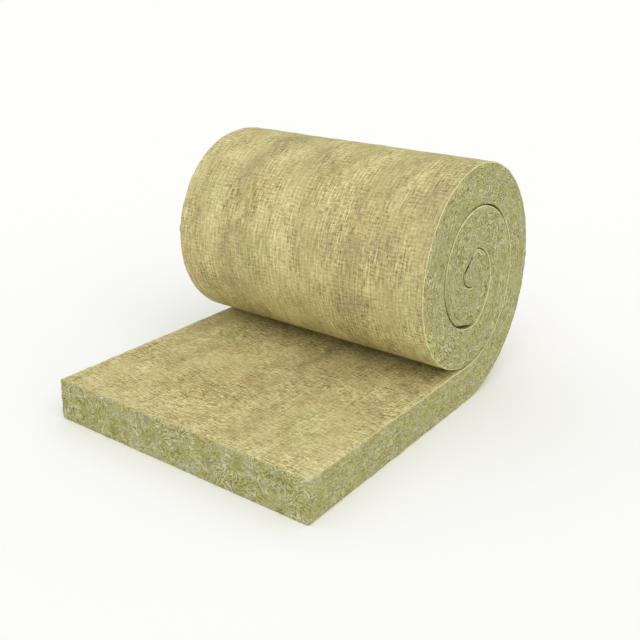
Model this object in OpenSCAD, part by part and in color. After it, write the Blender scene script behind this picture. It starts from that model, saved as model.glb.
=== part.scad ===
// Insulation roll: one mineral-wool mat, wound up with its outer end laid out flat.
// X runs along the roll's axis, the laid-out tongue points to -Y, and Z is up from the floor.
// The spiral is drawn with two centres: each half turn is half a ring, and the next one
// is half a pitch smaller about the other centre, so every face is a true cylinder.

/* [Mat] */
// Width of the mat, along the roll's axis
mat_w = 1000; // [400:10:1500]
// Thickness of the mat
mat_t = 140; // [100:5:240]

/* [Winding] */
// Half turns in the roll, with the squeezed nose at its centre as the last one
half_turns = 6; // [4:1:9]
// Radius of the squeezed nose, the mat's inner end
nose_r = 64; // [50:1:70]
// Seam left between one turn and the next
turn_gap = 2; // [1:0.5:5]

/* [Laid-out tongue] */
// Length of the flat tongue, from its cut end to where the mat lifts off the floor
tongue_l = 910; // [400:10:3000]
// Rounding of the tongue's cut end
cut_r = 4; // [1:0.5:12]

/* [Creased centre] */
// How far the two innermost half turns sit off the roll's axis, towards the tongue
core_shift = 15; // [0:1:20]
// How far the flat crease beside the nose stands in from the round
crease_depth = 29; // [4:1:40]
// Direction in which the crease faces, from -Y towards +Z
crease_tilt = 50; // [30:1:70]

/* [Slack turns] */
// Widest opening of the slack seam under the top of the outer turn
slack_top = 4; // [1:0.5:10]
// Direction of that opening, from +Y towards +Z
slack_top_angle = 58; // [40:1:80]
// Depth of the flat that the second turn has underneath, where its seam stands open
sag_depth = 9; // [1:0.5:14]
// Direction of that flat, from -Z towards -Y
sag_angle = 14; // [0:1:30]

/* [Hidden] */
$fn = 240;

mat_colour = [0.71, 0.66, 0.42];
pitch = mat_t + turn_gap;
roll_r = nose_r + (half_turns - 1) * pitch / 2;
// The first of the two innermost half turns, and where these two sit
core_turn = half_turns - 2;
core_offset = [-core_shift, 0];
// The overall box is centred over the origin
tongue_start_y = -(tongue_l + roll_r) / 2;
lift_off_y = tongue_start_y + tongue_l;
// The slack seam is cut by a cylinder this much smaller than the face it opens
slack_share = 0.78;

// Half turns are counted from the outside: even ones are behind the axis, odd ones before it
function turn_r(k) = roll_r - k * pitch / 2;
function turn_side(k) = k % 2 == 0 ? 1 : -1;
function turn_centre(k) = [0, roll_r + (k % 2) * pitch / 2];

// Half of a disc about the centre of half turn k, on that half turn's own side
module half_disc(k, r) {
    translate(turn_centre(k)) intersection() {
        circle(r);
        translate([turn_side(k) > 0 ? 0 : -2 * r, -2 * r]) square([2 * r, 4 * r]);
    }
}

// Everything past a flat at the given distance from a point, on the side that the angle names
module past_flat(point, angle, distance) {
    translate(point) rotate(angle)
        translate([distance, -roll_r]) square([2 * roll_r, 2 * roll_r]);
}

// Flat stretch on the floor, rounded at its cut end and square where it runs into the roll
module tongue() {
    translate([-tongue_l + cut_r, 0]) square([tongue_l - cut_r, mat_t]);
    translate([-tongue_l, cut_r]) square([tongue_l, mat_t - 2 * cut_r]);
    for (z = [cut_r, mat_t - cut_r]) translate([-tongue_l + cut_r, z]) circle(cut_r);
}

// Cylinder that opens the inner face of the outermost half turn, on one side
module slack_seam() {
    face_r = turn_r(0) - mat_t;
    offset_r = face_r * (1 - slack_share) + slack_top;
    translate(turn_centre(0) + offset_r * [cos(slack_top_angle), sin(slack_top_angle)])
        circle(face_r * slack_share);
}

// Half a turn of the mat at its full thickness
module half_ring(k) {
    difference() {
        half_disc(k, turn_r(k));
        translate(turn_centre(k)) circle(turn_r(k) - mat_t);
        if (k == 0) slack_seam();
    }
}

// The two innermost half turns, too tight to have an inner face, grown by the given amount
module core(grow) {
    translate(core_offset)
        for (k = [core_turn, half_turns - 1]) half_disc(k, turn_r(k) + grow);
}

// The turn wound round them, pressed to their shape
module turn_round_core() {
    difference() {
        for (k = [core_turn - 2, core_turn - 1]) half_disc(k, turn_r(k));
        core(turn_gap);
    }
}

// Everything past the crease beside the nose, which may be moved out by the given amount
module past_crease(out) {
    nose_turn = half_turns - 1;
    past_flat(turn_centre(nose_turn) + core_offset,
        turn_side(nose_turn) > 0 ? crease_tilt : 180 - crease_tilt,
        nose_r - crease_depth + out);
}

// What the second turn lacks underneath, where it doesn't reach the turn below
module sagged_away() {
    intersection() {
        union() {
            half_disc(3, turn_r(3));
            core(0);
        }
        past_flat(turn_centre(3), 270 - sag_angle, turn_r(3) - sag_depth);
    }
}

// Section of the wound mat, with the lift-off point at [0, 0]
module wound_section() {
    difference() {
        union() {
            tongue();
            for (k = [0 : 1 : core_turn - 3]) half_ring(k);
            turn_round_core();
            difference() {
                core(0);
                past_crease(0);
            }
            intersection() {
                core(mat_t / 2);
                past_crease(turn_gap);
            }
        }
        sagged_away();
    }
}

module wool_mat() {
    color(mat_colour)
        translate([-mat_w / 2, lift_off_y, 0])
            rotate([90, 0, 90])
                linear_extrude(mat_w) wound_section();
}

wool_mat();
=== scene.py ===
import bisect
import math
import random

import bmesh
import bpy
from mathutils import Matrix, Vector, noise


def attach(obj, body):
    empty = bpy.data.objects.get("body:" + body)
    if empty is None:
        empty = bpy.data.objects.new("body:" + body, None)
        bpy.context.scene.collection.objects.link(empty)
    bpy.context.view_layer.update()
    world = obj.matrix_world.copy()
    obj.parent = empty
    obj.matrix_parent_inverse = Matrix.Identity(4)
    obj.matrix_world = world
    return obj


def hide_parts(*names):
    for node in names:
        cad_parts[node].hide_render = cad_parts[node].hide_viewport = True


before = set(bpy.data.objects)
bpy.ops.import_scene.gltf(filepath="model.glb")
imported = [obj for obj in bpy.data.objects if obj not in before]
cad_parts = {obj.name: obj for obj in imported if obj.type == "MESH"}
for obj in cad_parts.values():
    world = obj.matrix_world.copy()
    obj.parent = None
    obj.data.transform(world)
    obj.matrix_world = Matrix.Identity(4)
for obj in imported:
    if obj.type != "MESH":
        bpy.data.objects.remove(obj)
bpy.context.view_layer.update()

# Sizes of the wound mat, in metres, as in the part's source
MAT_W = 1.0
MAT_T = 0.140
NOSE_R = 0.064
TURN_GAP = 0.002
TONGUE_L = 0.910
CORE_SHIFT = 0.015
CREASE_DEPTH = 0.029
CREASE_TILT = math.radians(50)
SLACK_TOP = 0.004
SLACK_TOP_ANGLE = math.radians(58)
SLACK_SHARE = 0.78
SAG_DEPTH = 0.009
SAG_ANGLE = math.radians(14)

HALF_W = MAT_W / 2
PITCH = MAT_T + TURN_GAP
ROLL_R = NOSE_R + 2.5 * PITCH
START_Y = -(TONGUE_L + ROLL_R) / 2
LIFT_Y = START_Y + TONGUE_L

# Angle over which the core's shift comes in, and how far the innermost half turn's inner skin stands off
# its centre: the least, the growth over the half turn and what it lags by
CORE_EASE = 0.7
INNERMOST_LEAST = 0.0006
INNERMOST_GROWTH = 0.012
INNERMOST_LAG = 0.005
# The mat's run counts as at least this radius in the tight half turns
LEAST_RUN_R = 0.04

# Rounding where a skin meets a cut edge, and how far it takes the corner in
EDGE_R = 0.006
WORN = 0.3 * EDGE_R
# Nearer to a face than this a point counts as on it, and nearer to each other two points are one
ON_FACE = 1.1 * WORN
SAME_POINT = 1e-5
TINY = 1e-6

# The mesh's cells across the width, through the depth, along the tongue, in each half turn and in the nose
COLUMNS = 96
DEPTHS = 18
AROUND = 2 * (COLUMNS + DEPTHS)
TONGUE_ROWS = 140
TURN_ROWS = (200, 168, 84, 66, 48)
NOSE_ROWS = 24
# Skins that are shut in keep their cells this near to the cut ends, and the outer skin counts as on the
# floor until this far past the lift-off
KEPT_RIM = 0.03
FLOOR_PAST = 0.05

# Relief as lumps: height and size in metres, and stretch along, across and through the mat
SKIN_LUMPS = ((0.0016, 0.150, (1, 1, 1)), (0.0011, 0.045, (1, 1, 1)), (0.0007, 0.014, (1, 3, 1)))
CUT_LUMPS = ((0.0018, 0.110, (1, 1, 1)), (0.0017, 0.032, (1, 1, 1)), (0.0010, 0.014, (1, 1, 1)))
FRAY_LUMPS = ((0.0016, 0.019, (1, 1, 1)),)

# Where the relief of a skin fades and where a shut seam takes painted shadow: distances before the lift-off
# on the tongue, and angles in the first two half turns. A skin in a seam keeps a share of its relief
TONGUE_FADE = (0.10, 0.32)
TONGUE_SHADOWED = (0.09, 0.04)
LIFTED = (0.1, 0.6)
TUCKED_FADE = (2.3, 2.8)
TUCKED_SHADOWED = (2.9, 3.08)
SEAM_RELIEF = 0.2

# Painted shadow on a skin in a seam: how dark by itself, more or less as it faces +Y and +Z, and how much
# more in the crease
OUTER_SHADE = (0.35, -0.15, -0.30)
INNER_SHADE = (0.50, -0.35, 0.25)
CREASE_SHADE = 0.6

# Loose strands: radius, points in each, fewest points of one that is kept, margin to a face's edge, and
# how deep the ends are sunk
STRAND_R = 0.0006
STRAND_POINTS = 9
FEWEST_POINTS = 5
STRAND_MARGIN = 0.002
STRAND_SUNK = 0.0005


def linear(hex_colour):
    """An sRGB hex colour as the linear RGBA that a shader takes."""
    parts = [int(hex_colour[i:i + 2], 16) / 255 for i in (1, 3, 5)]
    curved = [c / 12.92 if c <= 0.04045 else ((c + 0.055) / 1.055) ** 2.4 for c in parts]
    return (*curved, 1.0)


def add(tree, kind, sockets=(), stops=(), **settings):
    """A node with its settings, each socket linked or set; stops are a ramp's places and hex colours."""
    made = tree.nodes.new(kind)
    for name, value in settings.items():
        setattr(made, name, value)
    for name, value in dict(sockets).items():
        if isinstance(value, bpy.types.NodeSocket):
            tree.links.new(value, made.inputs[name])
        else:
            made.inputs[name].default_value = value
    for _ in stops[2:]:
        made.color_ramp.elements.new(1.0)
    for at, (position, colour) in enumerate(stops):
        made.color_ramp.elements[at].position = position
        made.color_ramp.elements[at].color = linear(colour)
    return made


def matt(name, roughness, specular):
    """A new matt material, with its tree and its shader."""
    material = bpy.data.materials.new(name)
    material.use_nodes = True
    shader = material.node_tree.nodes["Principled BSDF"]
    shader.inputs["Roughness"].default_value = roughness
    shader.inputs["Specular IOR Level"].default_value = specular
    return material, material.node_tree, shader


def put(name, data):
    """A new object in the scene."""
    made = bpy.data.objects.new(name, data)
    bpy.context.scene.collection.objects.link(made)
    return made


def eased(low, high, value):
    """A smooth step from 0 at low to 1 at high, which may be the smaller of the two."""
    t = min(1.0, max(0.0, (value - low) / (high - low)))
    return t * t * (3 - 2 * t)


# The winding: where the outer and the inner skin of each half turn lie, in Y and Z

def turn_r(k):
    return ROLL_R - k * PITCH / 2


def turn_centre(k):
    return Vector((LIFT_Y, ROLL_R + (k % 2) * PITCH / 2))


def turn_way(k, angle):
    """The direction from a half turn's centre, counted from where the mat enters it."""
    side = 1 if k % 2 == 0 else -1
    return Vector((side * math.sin(angle), -side * math.cos(angle)))


CORE = Vector((-CORE_SHIFT, 0))
NOSE_CENTRE = turn_centre(5) + CORE
CREASE_WAY = Vector((-math.cos(CREASE_TILT), math.sin(CREASE_TILT)))
CREASE_AT = NOSE_R - CREASE_DEPTH
SAG_WAY = Vector((-math.sin(SAG_ANGLE), -math.cos(SAG_ANGLE)))
SAG_AT = turn_r(3) - SAG_DEPTH


def up_to_flat(reach, start, way, centre, facing, distance):
    """How far a ray may go before a flat at that distance from a centre stops it."""
    towards = way.dot(facing)
    if towards <= TINY:
        return reach
    return min(reach, (distance - (start - centre).dot(facing)) / towards)


def slack(angle):
    """How far the slack seam opens the outermost half turn's inner skin."""
    face_r = turn_r(0) - MAT_T
    off = face_r * (1 - SLACK_SHARE) + SLACK_TOP
    turn = angle - math.pi / 2 - SLACK_TOP_ANGLE
    across = (face_r * SLACK_SHARE) ** 2 - (off * math.sin(turn)) ** 2
    return max(0.0, off * math.cos(turn) + math.sqrt(across) - face_r)


def skins(k, angle):
    """The outer and the inner skin's points at an angle of half turn k."""
    centre = turn_centre(k)
    way = turn_way(k, angle)
    outer_from = inner_from = centre
    outer_r = turn_r(k)
    inner_r = outer_r - MAT_T
    crease = (NOSE_CENTRE, CREASE_WAY, CREASE_AT)
    around_crease = (NOSE_CENTRE, CREASE_WAY, CREASE_AT + TURN_GAP)
    if k == 0:
        inner_r += slack(angle)
    if k == 2:
        inner_from = centre + CORE * eased(0.0, CORE_EASE, angle)
        inner_r = up_to_flat(inner_r, inner_from, way, *around_crease)
    if k == 3:
        inner_from = centre + CORE
        inner_r = up_to_flat(inner_r, inner_from, way, *around_crease)
    if k == 4:
        outer_from = centre + CORE * eased(0.0, CORE_EASE, angle)
        inner_from = centre + CORE
        outer_r = up_to_flat(outer_r, outer_from, way, *crease)
        inner_r = max(INNERMOST_LEAST, INNERMOST_GROWTH * angle / math.pi - INNERMOST_LAG)
    if k >= 3:
        outer_r = up_to_flat(outer_r, outer_from, way, turn_centre(3), SAG_WAY, SAG_AT)
    return outer_from + way * outer_r, inner_from + way * inner_r


def lay_out():
    """The mat's cross lines from its cut end inwards: outer point, inner point, run, the share of relief
    that the outer and the inner skin show, and how much painted shadow each of them takes in a seam."""
    lines = []
    for row in range(TONGUE_ROWS + 1):
        run = EDGE_R + (TONGUE_L - EDGE_R) * (row - 1) / (TONGUE_ROWS - 1) if row else WORN
        y = START_Y + run
        relief = (0.0, eased(*TONGUE_FADE, LIFT_Y - y))
        # Painted seam shadow on the tongue's top skin, coming in as it nears the roll
        seam = (0.0, eased(*TONGUE_SHADOWED, LIFT_Y - y))
        lines.append((Vector((y, 0)), Vector((y, MAT_T)), run, relief, seam))
    for k, rows in enumerate(TURN_ROWS):
        start = lines[-1][2]
        for row in range(1, rows + 1):
            angle = math.pi * row / rows
            outer, inner = skins(k, angle)
            run = start + angle * max(turn_r(k) - MAT_T / 2, LEAST_RUN_R)
            # Painted seam shadow: none on the outermost half turn's outer skin, coming in near the nip on the
            # next
            shown, shadowed = SEAM_RELIEF, 1.0
            if k == 0:
                shown, shadowed = eased(*LIFTED, angle), 0.0
            if k == 1:
                shown = 1 - (1 - SEAM_RELIEF) * eased(*TUCKED_FADE, angle)
                shadowed = eased(*TUCKED_SHADOWED, angle)
            lines.append((outer, inner, run, (shown, SEAM_RELIEF), (shadowed, 1.0)))
    # The nose closes on the last line's inner half, so that skin has no relief of its own
    outer, inner, run, relief, seam = lines[-1]
    lines[-1] = (outer, inner, run, (relief[0], 0.0), seam)
    return lines


def spread(index, count, length):
    """Where a grid line lies along a length, with the outer cells one edge rounding wide."""
    if index in (0, count):
        return length * index / count
    return EDGE_R + (length - 2 * EDGE_R) * (index - 1) / (count - 2)


def round_the_mat(index):
    """The place across the width and through the depth of a point on the mat's section, going round it."""
    side, step = 0, index % AROUND
    for cells in (COLUMNS, DEPTHS, COLUMNS):
        if step < cells:
            break
        step -= cells
        side += 1
    wide = spread(step, COLUMNS, MAT_W) - HALF_W if side in (0, 2) else HALF_W
    deep = spread(step, DEPTHS, MAT_T) if side in (1, 3) else 0.0
    if step == 0:
        wide += WORN if side in (0, 2) else -WORN
        deep += WORN
    return (wide, deep) if side < 2 else (-wide, MAT_T - deep)


def lumpy(flat, lumps):
    """The height of smooth random relief at a place in the flat mat."""
    return sum(height * noise.noise(Vector([c / (size * s) for c, s in zip(flat, stretch)]))
               for height, size, stretch in lumps)


def skin_lift(flat, way, relief):
    """How far a skin's relief moves a point of the section; nothing inside the depth."""
    if flat.z < ON_FACE:
        return way * lumpy(flat, SKIN_LUMPS) * relief[0]
    if flat.z > MAT_T - ON_FACE:
        return way * -lumpy(flat, SKIN_LUMPS) * relief[1]
    return way * 0.0


def seam_shade(flat, way, seam):
    """How dark the painted shadow on a skin in a seam is: darker on the tongue's side than behind, and darker
    where the skin faces down."""
    outside = flat.z < MAT_T / 2
    own, with_y, with_z = OUTER_SHADE if outside else INNER_SHADE
    return seam[0 if outside else 1] * (own + with_y * way.x + with_z * way.y)


def settle(v, layer, flat, spot, swell, fray):
    """Put a vertex at its spot in Y and Z, keep its place in the flat mat, swell the cut ends and fray
    the edges."""
    v[layer] = flat
    if abs(flat.y) < HALF_W - ON_FACE:
        swell = 0
    elif abs(flat.y) < HALF_W - SAME_POINT:
        swell += fray
    if 0 < flat.x < ON_FACE:
        spot = spot - Vector((fray, 0))
    v.co = (flat.y + math.copysign(swell, flat.y), *spot)


def wound_mat():
    """The mat as one closed mesh: cells round its section and along its run, its cut end and its nose."""
    bm = bmesh.new()
    layer = bm.verts.layers.float_vector.new("flat")
    # Painted shadow in the seams, kept as an attribute for the materials
    shade = bm.verts.layers.float.new("seam")
    lines = lay_out()

    made = bmesh.ops.create_grid(bm, x_segments=AROUND, y_segments=len(lines) - 1, size=0.5)
    for v in made["verts"]:
        wide, deep = round_the_mat(round((v.co.x + 0.5) * AROUND))
        outer, inner, run, relief, seam = lines[round((v.co.y + 0.5) * (len(lines) - 1))]
        flat = Vector((run, wide, deep))
        way = (outer - inner).normalized()
        # How much painted shadow this point takes in its seam
        v[shade] = seam_shade(flat, way, seam)
        spot = outer.lerp(inner, deep / MAT_T) + skin_lift(flat, way, relief)
        settle(v, layer, flat, spot, lumpy(flat, CUT_LUMPS), lumpy(flat, FRAY_LUMPS))

    made = bmesh.ops.create_grid(bm, x_segments=COLUMNS, y_segments=DEPTHS, size=0.5)
    outer, inner, run, relief, _ = lines[0]
    way = (outer - inner).normalized()
    for v in made["verts"]:
        column = round((v.co.x + 0.5) * COLUMNS)
        level = round((v.co.y + 0.5) * DEPTHS)
        index = None
        if level == 0:
            index = column
        elif level == DEPTHS:
            index = 2 * COLUMNS + DEPTHS - column
        elif column == COLUMNS:
            index = COLUMNS + level
        elif column == 0:
            index = AROUND - level
        if index is None:
            flat = Vector((0, spread(column, COLUMNS, MAT_W) - HALF_W, spread(level, DEPTHS, MAT_T)))
            spot = Vector((START_Y - lumpy(flat, CUT_LUMPS), flat.z))
        else:
            flat = Vector((run, *round_the_mat(index)))
            spot = outer.lerp(inner, flat.z / MAT_T) + skin_lift(flat, way, relief)
        settle(v, layer, flat, spot, lumpy(flat, CUT_LUMPS), lumpy(flat, FRAY_LUMPS))

    outer, inner, run, relief, seam = lines[-1]
    pivot = outer.lerp(inner, 0.5)
    made = bmesh.ops.create_grid(bm, x_segments=AROUND // 2, y_segments=NOSE_ROWS, size=0.5)
    for v in made["verts"]:
        wide, deep = round_the_mat(round((v.co.x + 0.5) * (AROUND // 2)) - DEPTHS // 2)
        share = v.co.y + 0.5
        way = turn_way(5, math.pi * share)
        reach = up_to_flat(NOSE_R, NOSE_CENTRE, way, NOSE_CENTRE, CREASE_WAY, CREASE_AT)
        flat = Vector((run + math.pi * share * NOSE_R * (0.5 - deep / MAT_T), wide, deep))
        # The nose ends on the other half of the line that it starts from, so its relief runs into that one's
        facing = Vector((run, wide, MAT_T - deep))
        swell = lumpy(flat, CUT_LUMPS) * (1 - share) + lumpy(facing, CUT_LUMPS) * share
        fray = lumpy(flat, FRAY_LUMPS) * (1 - share) + lumpy(facing, FRAY_LUMPS) * share
        lift = skin_lift(flat, way, (relief[0] * (1 - share), 0.0))
        # The crease stands open, and both of its skins take painted shadow there
        crease_shadow = eased(0, CREASE_DEPTH / 2, NOSE_R - reach)
        v[shade] = seam_shade(flat, way, seam) + CREASE_SHADE * crease_shadow
        spot = (NOSE_CENTRE + way * reach).lerp(pivot, 2 * deep / MAT_T) + lift
        settle(v, layer, flat, spot, swell, fray)

    bmesh.ops.remove_doubles(bm, verts=bm.verts, dist=SAME_POINT)
    bmesh.ops.recalc_face_normals(bm, faces=bm.faces)

    # Skins shut in a seam or on the floor need no cells across the width
    floor_end = TONGUE_L + FLOOR_PAST
    under_end = TONGUE_L + math.pi * (turn_r(0) + turn_r(1) - MAT_T)
    shut_in = []
    for edge in bm.edges:
        a, b = (v[layer] for v in edge.verts)
        if abs(a.y - b.y) < TINY and abs(a.y) < HALF_W - KEPT_RIM:
            if a.z == b.z == 0 and (max(a.x, b.x) < floor_end or min(a.x, b.x) > under_end):
                shut_in.append(edge)
            if a.z > MAT_T - TINY and b.z > MAT_T - TINY and min(a.x, b.x) > TONGUE_L:
                shut_in.append(edge)
    bmesh.ops.dissolve_edges(bm, edges=shut_in, use_verts=True)

    for face in bm.faces:
        flats = [v[layer] for v in face.verts]
        face.smooth = True
        face.material_index = int(all(abs(f.y) > HALF_W - ON_FACE for f in flats)
                                  or all(f.x < ON_FACE for f in flats))
    return bm


def on_mat(lines, run, wide, deep):
    """A point of the wound mat from its place in the flat mat; a place off a face stands proud of it."""
    at = min(max(bisect.bisect(lines, run, key=lambda line: line[2]), 1), len(lines) - 1)
    before, after = lines[at - 1], lines[at]
    share = (run - before[2]) / (after[2] - before[2])
    outer = before[0].lerp(after[0], share)
    inner = before[1].lerp(after[1], share)
    return (wide, *outer.lerp(inner, deep / MAT_T))


def loose_strands():
    """Curly strands that stand a little proud of the cut faces and the open skins, with both ends sunk in."""
    lines = lay_out()
    chance = random.Random(7)
    curve = bpy.data.curves.new("loose_strands", "CURVE")
    curve.dimensions = "3D"
    curve.bevel_depth = STRAND_R
    curve.bevel_resolution = 0
    curve.use_fill_caps = True
    length = lines[-1][2]
    # Each face: how many strands are tried, the two ranges they lie in, how far they stray from the first
    # one's way, and the place in the flat mat at a height over the face
    faces = (
        (420, (-HALF_W, HALF_W), (0, MAT_T), 1.6,
         lambda u, v, h: (-h - lumpy((0, u, v), CUT_LUMPS), u, v)),
        (880, (0, length), (0, MAT_T), 0.8,
         lambda u, v, h: (u, HALF_W + h + lumpy((u, HALF_W, v), CUT_LUMPS), v)),
        (880, (0, length), (0, MAT_T), 0.8,
         lambda u, v, h: (u, -HALF_W - h - lumpy((u, -HALF_W, v), CUT_LUMPS), v)),
        (160, (0, 0.7), (-HALF_W, HALF_W), 1.6, lambda u, v, h: (u, v, MAT_T + h)),
        (240, (TONGUE_L + 0.2, TONGUE_L + 1.9), (-HALF_W, HALF_W), 1.6, lambda u, v, h: (u, v, -h)),
    )
    for count, (u_low, u_high), (v_low, v_high), stray, place in faces:
        for _ in range(count):
            u = chance.uniform(u_low, u_high)
            v = chance.uniform(v_low, v_high)
            heading = chance.gauss(0, stray) + chance.choice((0, math.pi))
            bend = chance.gauss(0, 60)
            step = chance.uniform(0.0025, 0.0050)
            height = chance.uniform(0.0006, 0.0018)
            points = []
            for i in range(STRAND_POINTS):
                if (u_low + STRAND_MARGIN < u < u_high - STRAND_MARGIN
                        and v_low + STRAND_MARGIN < v < v_high - STRAND_MARGIN):
                    rise = height * math.sin(math.pi * i / (STRAND_POINTS - 1)) - STRAND_SUNK
                    points.append(on_mat(lines, *place(u, v, rise)))
                u += step * math.cos(heading)
                v += step * math.sin(heading)
                heading += bend * step
                bend += chance.gauss(0, 25)
            if len(points) < FEWEST_POINTS:
                continue
            spline = curve.splines.new("POLY")
            spline.points.add(len(points) - 1)
            thick = chance.uniform(0.6, 1.3)
            for spot, co in zip(spline.points, points):
                spot.co = (*co, 1)
                spot.radius = thick
    return curve


# Materials, patterned in the flat mat's own metres: along its run, across its width and through its depth

def stone_wool_skin():
    """Stone-wool skin, felted flat by the oven's belts: matt straw fibres with threads along the mat and
    short dashes across it, grey-brown bands, warm and greenish patches and pale loose fibres."""
    material, tree, shader = matt("stone_wool_skin", roughness=0.92, specular=0.2)
    flat = add(tree, "ShaderNodeAttribute", attribute_name="flat").outputs["Vector"]
    place = add(tree, "ShaderNodeSeparateXYZ", {0: flat}).outputs

    # Lumps and streaks: length along the run and across the width in millimetres, detail, roughness and
    # distortion. Fibre bundles are drawn 3 to 5 mm thick so that they show in the render
    streaks = {
        "threads": (42, 4.6, 2, 0.6, 0.3),
        "dashes": (4.4, 19, 2, 0.6, 0.5),
        "felt": (3.0, 3.0, 2, 0.7, 0),
        "shaded_pits": (6, 8, 2, 0.55, 0),
        "fibres_across": (3.2, 24, 1, 0.5, 1.2),
        "fibres_along": (30, 3.4, 1, 0.5, 1.2),
        "bands": (900, 130, 3, 0.55, 0),
        "blotches": (110, 80, 4, 0.65, 0),
        "tints": (260, 170, 3, 0.6, 0),
        "worn": (180, 110, 2, 0.55, 0),
    }
    # Lumps are 25 mm deep, so the two skins differ
    deep = 25
    drawn = {}
    for name, (along, across, detail, rough, twist) in streaks.items():
        scaled = add(tree, "ShaderNodeVectorMath", {0: flat, 1: (1000 / along, 1000 / across, 1000 / deep)},
                     operation="MULTIPLY").outputs[0]
        drawn[name] = add(tree, "ShaderNodeTexNoise", {
            "Vector": scaled, "Scale": 1.0, "Detail": detail, "Roughness": rough,
            "Distortion": twist}).outputs["Fac"]

    dashed = add(tree, "ShaderNodeMapRange", {"Value": place["Z"], "From Max": MAT_T, "To Min": 0.44,
                                              "To Max": 0.8}).outputs[0]
    weave = add(tree, "ShaderNodeMix", {0: dashed, 2: drawn["threads"], 3: drawn["dashes"]}).outputs[0]
    # The belts' print: bars every 12 mm along the mat and every 15 mm across it. At a scale of 1 the node's
    # bars are 314 mm apart
    for pitch, way in ((12, "X"), (15, "Y")):
        bars = add(tree, "ShaderNodeTexWave", {"Vector": flat, "Scale": 314 / pitch, "Distortion": 5.0,
                                               "Detail": 2, "Detail Scale": 0.7}, bands_direction=way)
        weave = add(tree, "ShaderNodeMix", {0: 0.04, 2: weave, 3: bars.outputs["Fac"]}).outputs[0]
    weave = add(tree, "ShaderNodeMix", {0: 0.30, 2: weave, 3: drawn["felt"]}).outputs[0]
    weave = add(tree, "ShaderNodeMapRange", {"Value": weave, "From Min": 0.39, "From Max": 0.61}).outputs[0]

    tone = add(tree, "ShaderNodeMix", {0: 0.6, 2: drawn["bands"], 3: drawn["blotches"]}).outputs[0]
    # Painted light: the skins are paler towards the tongue's free end, away from the roll's shade
    lit_free_end = add(tree, "ShaderNodeMapRange", {"Value": place["X"], "From Max": 0.4, "To Min": 0.07,
                                                "To Max": 0.02}).outputs[0]
    tone = add(tree, "ShaderNodeMath", {0: tone, 1: lit_free_end}, operation="ADD").outputs[0]
    # Darker where a belt pressed harder: middle and half width of each band across the mat, in metres,
    # with its depth of tone on the outer skin and on the inner one. The bands wander by 200 mm times a noise
    # that is 0.5 on average
    pressed = ((-0.24, 0.13, 0.11, 0), (0.26, 0.13, 0.06, 0), (0.03, 0.26, 0, 0.07))
    wander = 0.2
    inner = add(tree, "ShaderNodeMapRange", {"Value": place["Z"], "From Max": MAT_T}).outputs[0]
    wavy = add(tree, "ShaderNodeMath", {0: drawn["tints"], 1: wander, 2: place["Y"]},
               operation="MULTIPLY_ADD").outputs[0]
    for middle, half, outer_tone, inner_tone in pressed:
        off = add(tree, "ShaderNodeMath", {0: wavy, 1: middle + wander / 2}, operation="SUBTRACT").outputs[0]
        off = add(tree, "ShaderNodeMath", {0: off}, operation="ABSOLUTE").outputs[0]
        darker = add(tree, "ShaderNodeMapRange", {"Value": inner, "To Min": outer_tone,
                                                  "To Max": inner_tone}).outputs[0]
        band = add(tree, "ShaderNodeMapRange", {"Value": off, "From Max": half, "To Min": darker,
                                                "To Max": 0.0}, interpolation_type="SMOOTHSTEP").outputs[0]
        tone = add(tree, "ShaderNodeMath", {0: tone, 1: band}, operation="SUBTRACT").outputs[0]
    colour = add(tree, "ShaderNodeValToRGB", {"Fac": tone}, stops=(
        (0.36, "#A99C71"), (0.46, "#BAAD78"), (0.54, "#C6BA83"), (0.64, "#D1C690"))).outputs["Color"]
    for low, high, hue in ((0.56, 0.70, "#BCA468"), (0.46, 0.32, "#BCBA7C")):
        share = add(tree, "ShaderNodeMapRange", {"Value": drawn["tints"], "From Min": low, "From Max": high,
                                                 "To Max": 0.5}).outputs[0]
        colour = add(tree, "ShaderNodeMix", {0: share, 6: colour, 7: linear(hue)},
                     data_type="RGBA").outputs[2]

    shown = add(tree, "ShaderNodeMapRange", {"Value": drawn["worn"], "From Min": 0.38, "From Max": 0.62,
                                             "To Min": 0.34, "To Max": 0.72}).outputs[0]
    colour = add(tree, "ShaderNodeMix", {0: shown, 6: colour, 7: weave}, data_type="RGBA",
                 blend_type="OVERLAY").outputs[2]
    # Painted shade in small pits, and pale loose fibres across and along the mat
    for name, low, high, most, hue in (("shaded_pits", 0.36, 0.27, 0.5, "#85784A"),
                                       ("fibres_across", 0.62, 0.75, 0.55, "#E6DDB0"),
                                       ("fibres_along", 0.62, 0.75, 0.55, "#E6DDB0")):
        share = add(tree, "ShaderNodeMapRange", {"Value": drawn[name], "From Min": low, "From Max": high,
                                                 "To Max": most}).outputs[0]
        colour = add(tree, "ShaderNodeMix", {0: share, 6: colour, 7: linear(hue)},
                     data_type="RGBA").outputs[2]
    # Painted shadow: the skin turns dark brown where it lies in a seam
    seam = add(tree, "ShaderNodeAttribute", attribute_name="seam").outputs["Fac"]
    colour = add(tree, "ShaderNodeMix", {0: seam, 6: colour, 7: linear("#4A4226")},
                 data_type="RGBA").outputs[2]
    tree.links.new(colour, shader.inputs["Base Color"])
    bump = add(tree, "ShaderNodeBump", {"Height": weave, "Distance": 0.001, "Strength": 0.5})
    tree.links.new(bump.outputs["Normal"], shader.inputs["Normal"])
    return material


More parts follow.
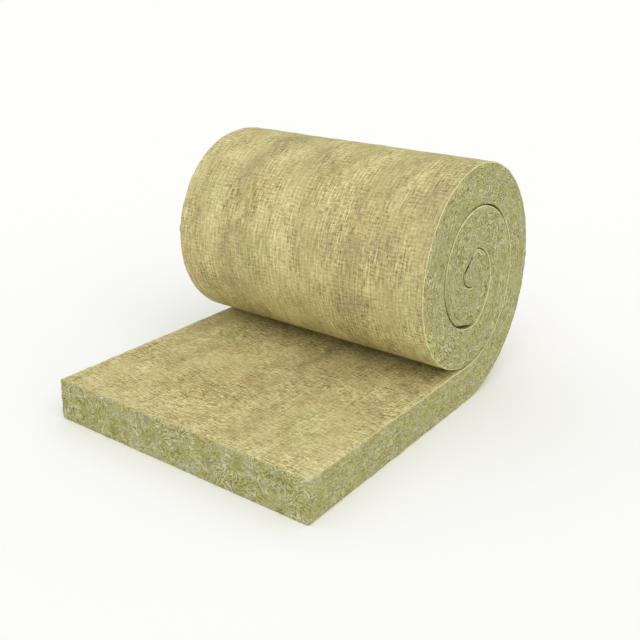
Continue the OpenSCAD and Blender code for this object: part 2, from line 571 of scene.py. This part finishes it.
def stone_wool_cut():
    """Stone wool cut by a saw: matt grey-green fibres in crimped, curling layers, with pale strands, olive
    clumps, painted shade in small pits, and the straw skin as a thin line at both faces, painted dark where
    its seam is in shadow."""
    material, tree, shader = matt("stone_wool_cut", roughness=0.95, specular=0.15)
    flat = add(tree, "ShaderNodeAttribute", attribute_name="flat").outputs["Vector"]
    place = add(tree, "ShaderNodeSeparateXYZ", {0: flat}).outputs

    # Lumps: length along the run, across the width and through the depth in millimetres, detail, roughness
    # and distortion
    lumps_of = {
        "layers": (34, 34, 12, 2, 0.55, 0.7),
        "curls": (60, 60, 44, 1.5, 0.45, 1.4),
        "fibres": (6, 5, 4, 3, 0.65, 0.6),
        "clumps": (70, 46, 30, 4, 0.62, 0.4),
        "shaded_pits": (12, 10, 7, 2, 0.55, 0),
        "ragged": (14, 14, 14, 2, 0.55, 0),
        "matted": (95, 80, 70, 2, 0.6, 0.5),
    }
    drawn = {}
    for name, (along, across, deep, detail, rough, twist) in lumps_of.items():
        scaled = add(tree, "ShaderNodeVectorMath", {0: flat, 1: (1000 / along, 1000 / across, 1000 / deep)},
                     operation="MULTIPLY").outputs[0]
        drawn[name] = add(tree, "ShaderNodeTexNoise", {
            "Vector": scaled, "Scale": 1.0, "Detail": detail, "Roughness": rough,
            "Distortion": twist}).outputs["Fac"]

    # Strands as contour lines of soft lumps, 4 to 6 mm apart so that they show in the render, drawn out in
    # layers where the mat is wound, curling on the cut end and about half and half on the tongue's sides
    side_curl = 0.55
    end = add(tree, "ShaderNodeMapRange", {"Value": place["X"], "From Min": 0.005,
                                           "From Max": 0.002}).outputs[0]
    laid = add(tree, "ShaderNodeMapRange", {"Value": place["X"], "From Min": TONGUE_L + 0.25,
                                            "From Max": TONGUE_L - 0.15, "To Max": side_curl}).outputs[0]
    curled = add(tree, "ShaderNodeMath", {0: laid, 1: end}, operation="MAXIMUM").outputs[0]
    soft = add(tree, "ShaderNodeMix", {0: curled, 2: drawn["layers"], 3: drawn["curls"]}).outputs[0]
    lines = add(tree, "ShaderNodeMapRange", {"Value": curled, "To Min": 6.0, "To Max": 9.0}).outputs[0]
    strands = add(tree, "ShaderNodeMath", {0: soft, 1: lines}, operation="MULTIPLY").outputs[0]
    strands = add(tree, "ShaderNodeMath", {0: strands, 1: 0.5}, operation="PINGPONG").outputs[0]
    strands = add(tree, "ShaderNodeMath", {0: strands, 1: 2.0}, operation="MULTIPLY").outputs[0]
    fibres = add(tree, "ShaderNodeMix", {0: 0.66, 2: strands, 3: drawn["fibres"]}).outputs[0]
    fibres = add(tree, "ShaderNodeMapRange", {"Value": fibres, "From Min": 0.26, "From Max": 0.74}).outputs[0]

    # Clumps show most on the cut end, and strands are crispest on the wound ends and softest on the tongue's
    # sides, with matted patches
    varied = add(tree, "ShaderNodeMapRange", {"Value": end, "To Min": 0.55}).outputs[0]
    clumps = add(tree, "ShaderNodeMix", {0: varied, 2: 0.5, 3: drawn["clumps"]}).outputs[0]
    colour = add(tree, "ShaderNodeValToRGB", {"Fac": clumps}, stops=(
        (0.34, "#9A9651"), (0.45, "#A8A46A"), (0.55, "#AEAC80"), (0.66, "#B5B493"))).outputs["Color"]
    crisp = add(tree, "ShaderNodeMapRange", {"Value": laid, "From Max": side_curl, "To Min": 0.74,
                                             "To Max": 0.45}).outputs[0]
    crisp = add(tree, "ShaderNodeMath", {0: end, 1: 0.12, 2: crisp}, operation="MULTIPLY_ADD").outputs[0]
    matted = add(tree, "ShaderNodeMapRange", {"Value": drawn["matted"], "From Min": 0.38, "From Max": 0.62,
                                              "To Min": 1.25, "To Max": 0.70}).outputs[0]
    crisp = add(tree, "ShaderNodeMath", {0: crisp, 1: matted}, operation="MULTIPLY").outputs[0]
    colour = add(tree, "ShaderNodeMix", {0: crisp, 6: colour, 7: fibres}, data_type="RGBA",
                 blend_type="OVERLAY").outputs[2]
    # Painted shade in small pits
    shaded_pits = add(tree, "ShaderNodeMapRange", {"Value": drawn["shaded_pits"], "From Min": 0.37, "From Max": 0.27,
                                            "To Max": 0.55}).outputs[0]
    colour = add(tree, "ShaderNodeMix", {0: shaded_pits, 6: colour, 7: linear("#76753F")},
                 data_type="RGBA").outputs[2]

    to_skin = add(tree, "ShaderNodeMath", {0: place["Z"], 1: MAT_T / 2}, operation="PINGPONG").outputs[0]
    ragged = add(tree, "ShaderNodeMath", {0: drawn["ragged"], 1: -0.003, 2: to_skin},
                 operation="MULTIPLY_ADD").outputs[0]
    wound = add(tree, "ShaderNodeMapRange", {"Value": place["X"], "From Max": TONGUE_L, "To Min": 0.15,
                                             "To Max": 0.95}).outputs[0]
    # Painted shadow: the skin's line turns dark brown where its seam is in shadow
    seam = add(tree, "ShaderNodeAttribute", attribute_name="seam").outputs["Fac"]
    shadowed = add(tree, "ShaderNodeMapRange", {"Value": seam, "From Min": 0.35, "From Max": 0.95}).outputs[0]
    # The skin's line fades out between 2.3 and 3.7 mm from the face, give or take its ragged edge
    skin = add(tree, "ShaderNodeMapRange", {"Value": ragged, "From Min": 0.0037, "From Max": 0.0023,
                                            "To Max": wound}).outputs[0]
    line = add(tree, "ShaderNodeMix", {0: shadowed, 6: linear("#E6DCA2"), 7: linear("#3F3920")},
               data_type="RGBA").outputs[2]
    colour = add(tree, "ShaderNodeMix", {0: skin, 6: colour, 7: line}, data_type="RGBA").outputs[2]
    tree.links.new(colour, shader.inputs["Base Color"])
    bump = add(tree, "ShaderNodeBump", {"Height": fibres, "Distance": 0.0015, "Strength": 0.6})
    tree.links.new(bump.outputs["Normal"], shader.inputs["Normal"])
    return material


def stone_wool_strand():
    """Single stone-wool strands: matt pale straw, some greener, some greyer."""
    material, tree, shader = matt("stone_wool_strand", roughness=0.8, specular=0.25)
    spot = add(tree, "ShaderNodeTexCoord").outputs["Object"]
    # About one tone to a strand: lumps of 30 mm
    tone = add(tree, "ShaderNodeTexNoise", {"Vector": spot, "Scale": 33.0, "Detail": 1.0}).outputs["Fac"]
    tint = add(tree, "ShaderNodeValToRGB", {"Fac": tone}, stops=(
        (0.38, "#9F9B5F"), (0.5, "#C1BC8D"), (0.62, "#D4CFAB"))).outputs["Color"]
    tree.links.new(tint, shader.inputs["Base Color"])
    return material


wool = wound_mat()
mesh = bpy.data.meshes.new("wool_mat_visual")
wool.to_mesh(mesh)
wool.free()
mat = put("wool_mat_visual", mesh)
mesh.materials.append(stone_wool_skin())
mesh.materials.append(stone_wool_cut())
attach(mat, "root")
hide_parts("wool_mat")

strands = put("loose_strands", loose_strands())
strands.data.materials.append(stone_wool_strand())
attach(strands, "root")


# The pale floor, wide enough to reach the horizon, and the studio around it

floor_mesh = bpy.data.meshes.new("studio_floor")
ground = bmesh.new()
bmesh.ops.create_grid(ground, x_segments=1, y_segments=1, size=400)
ground.to_mesh(floor_mesh)
ground.free()
floor = put("studio_floor", floor_mesh)
paper, _, paper_shader = matt("studio_paper", roughness=0.9, specular=0.1)
paper_shader.inputs["Base Color"].default_value = linear("#FDFDFC")
floor_mesh.materials.append(paper)

world = bpy.data.worlds.new("studio")
bpy.context.scene.world = world
world.use_nodes = True
sky = world.node_tree
path = add(sky, "ShaderNodeLightPath")
seen = add(sky, "ShaderNodeMath", {0: path.outputs["Is Camera Ray"], 1: path.outputs["Is Glossy Ray"]},
           operation="MAXIMUM").outputs[0]
seen = add(sky, "ShaderNodeMath", {0: seen, 1: path.outputs["Is Transmission Ray"]},
           operation="MAXIMUM").outputs[0]
strength = add(sky, "ShaderNodeMapRange", {"Value": seen, "To Min": 0.77, "To Max": 1.0}).outputs[0]
sky.links.new(strength, sky.nodes["Background"].inputs["Strength"])
sky.nodes["Background"].inputs["Color"].default_value = (1, 1, 1, 1)

key = put("key_light", bpy.data.lights.new("key_light", "SUN"))
key.data.energy = 0.95
key.data.angle = math.radians(70)
key.rotation_euler = (math.radians(38), 0, math.radians(43))

# The camera, fitted to the photograph's edges
AZIMUTH = math.radians(35.550)
ELEVATION = math.radians(17.706)
ROLL = math.radians(0.917)
CAMERA_AT = (1.7106, -2.3262, 1.4133)
camera = put("camera", bpy.data.cameras.new("camera"))
bpy.context.scene.camera = camera
turned = Matrix.Rotation(AZIMUTH, 4, "Z") @ Matrix.Rotation(math.pi / 2 - ELEVATION, 4, "X")
camera.matrix_world = Matrix.Translation(CAMERA_AT) @ turned @ Matrix.Rotation(ROLL, 4, "Z")
camera.data.lens = 50.47
camera.data.sensor_width = 36
camera.data.shift_y = -0.1
bpy.context.scene.view_settings.view_transform = "Standard"
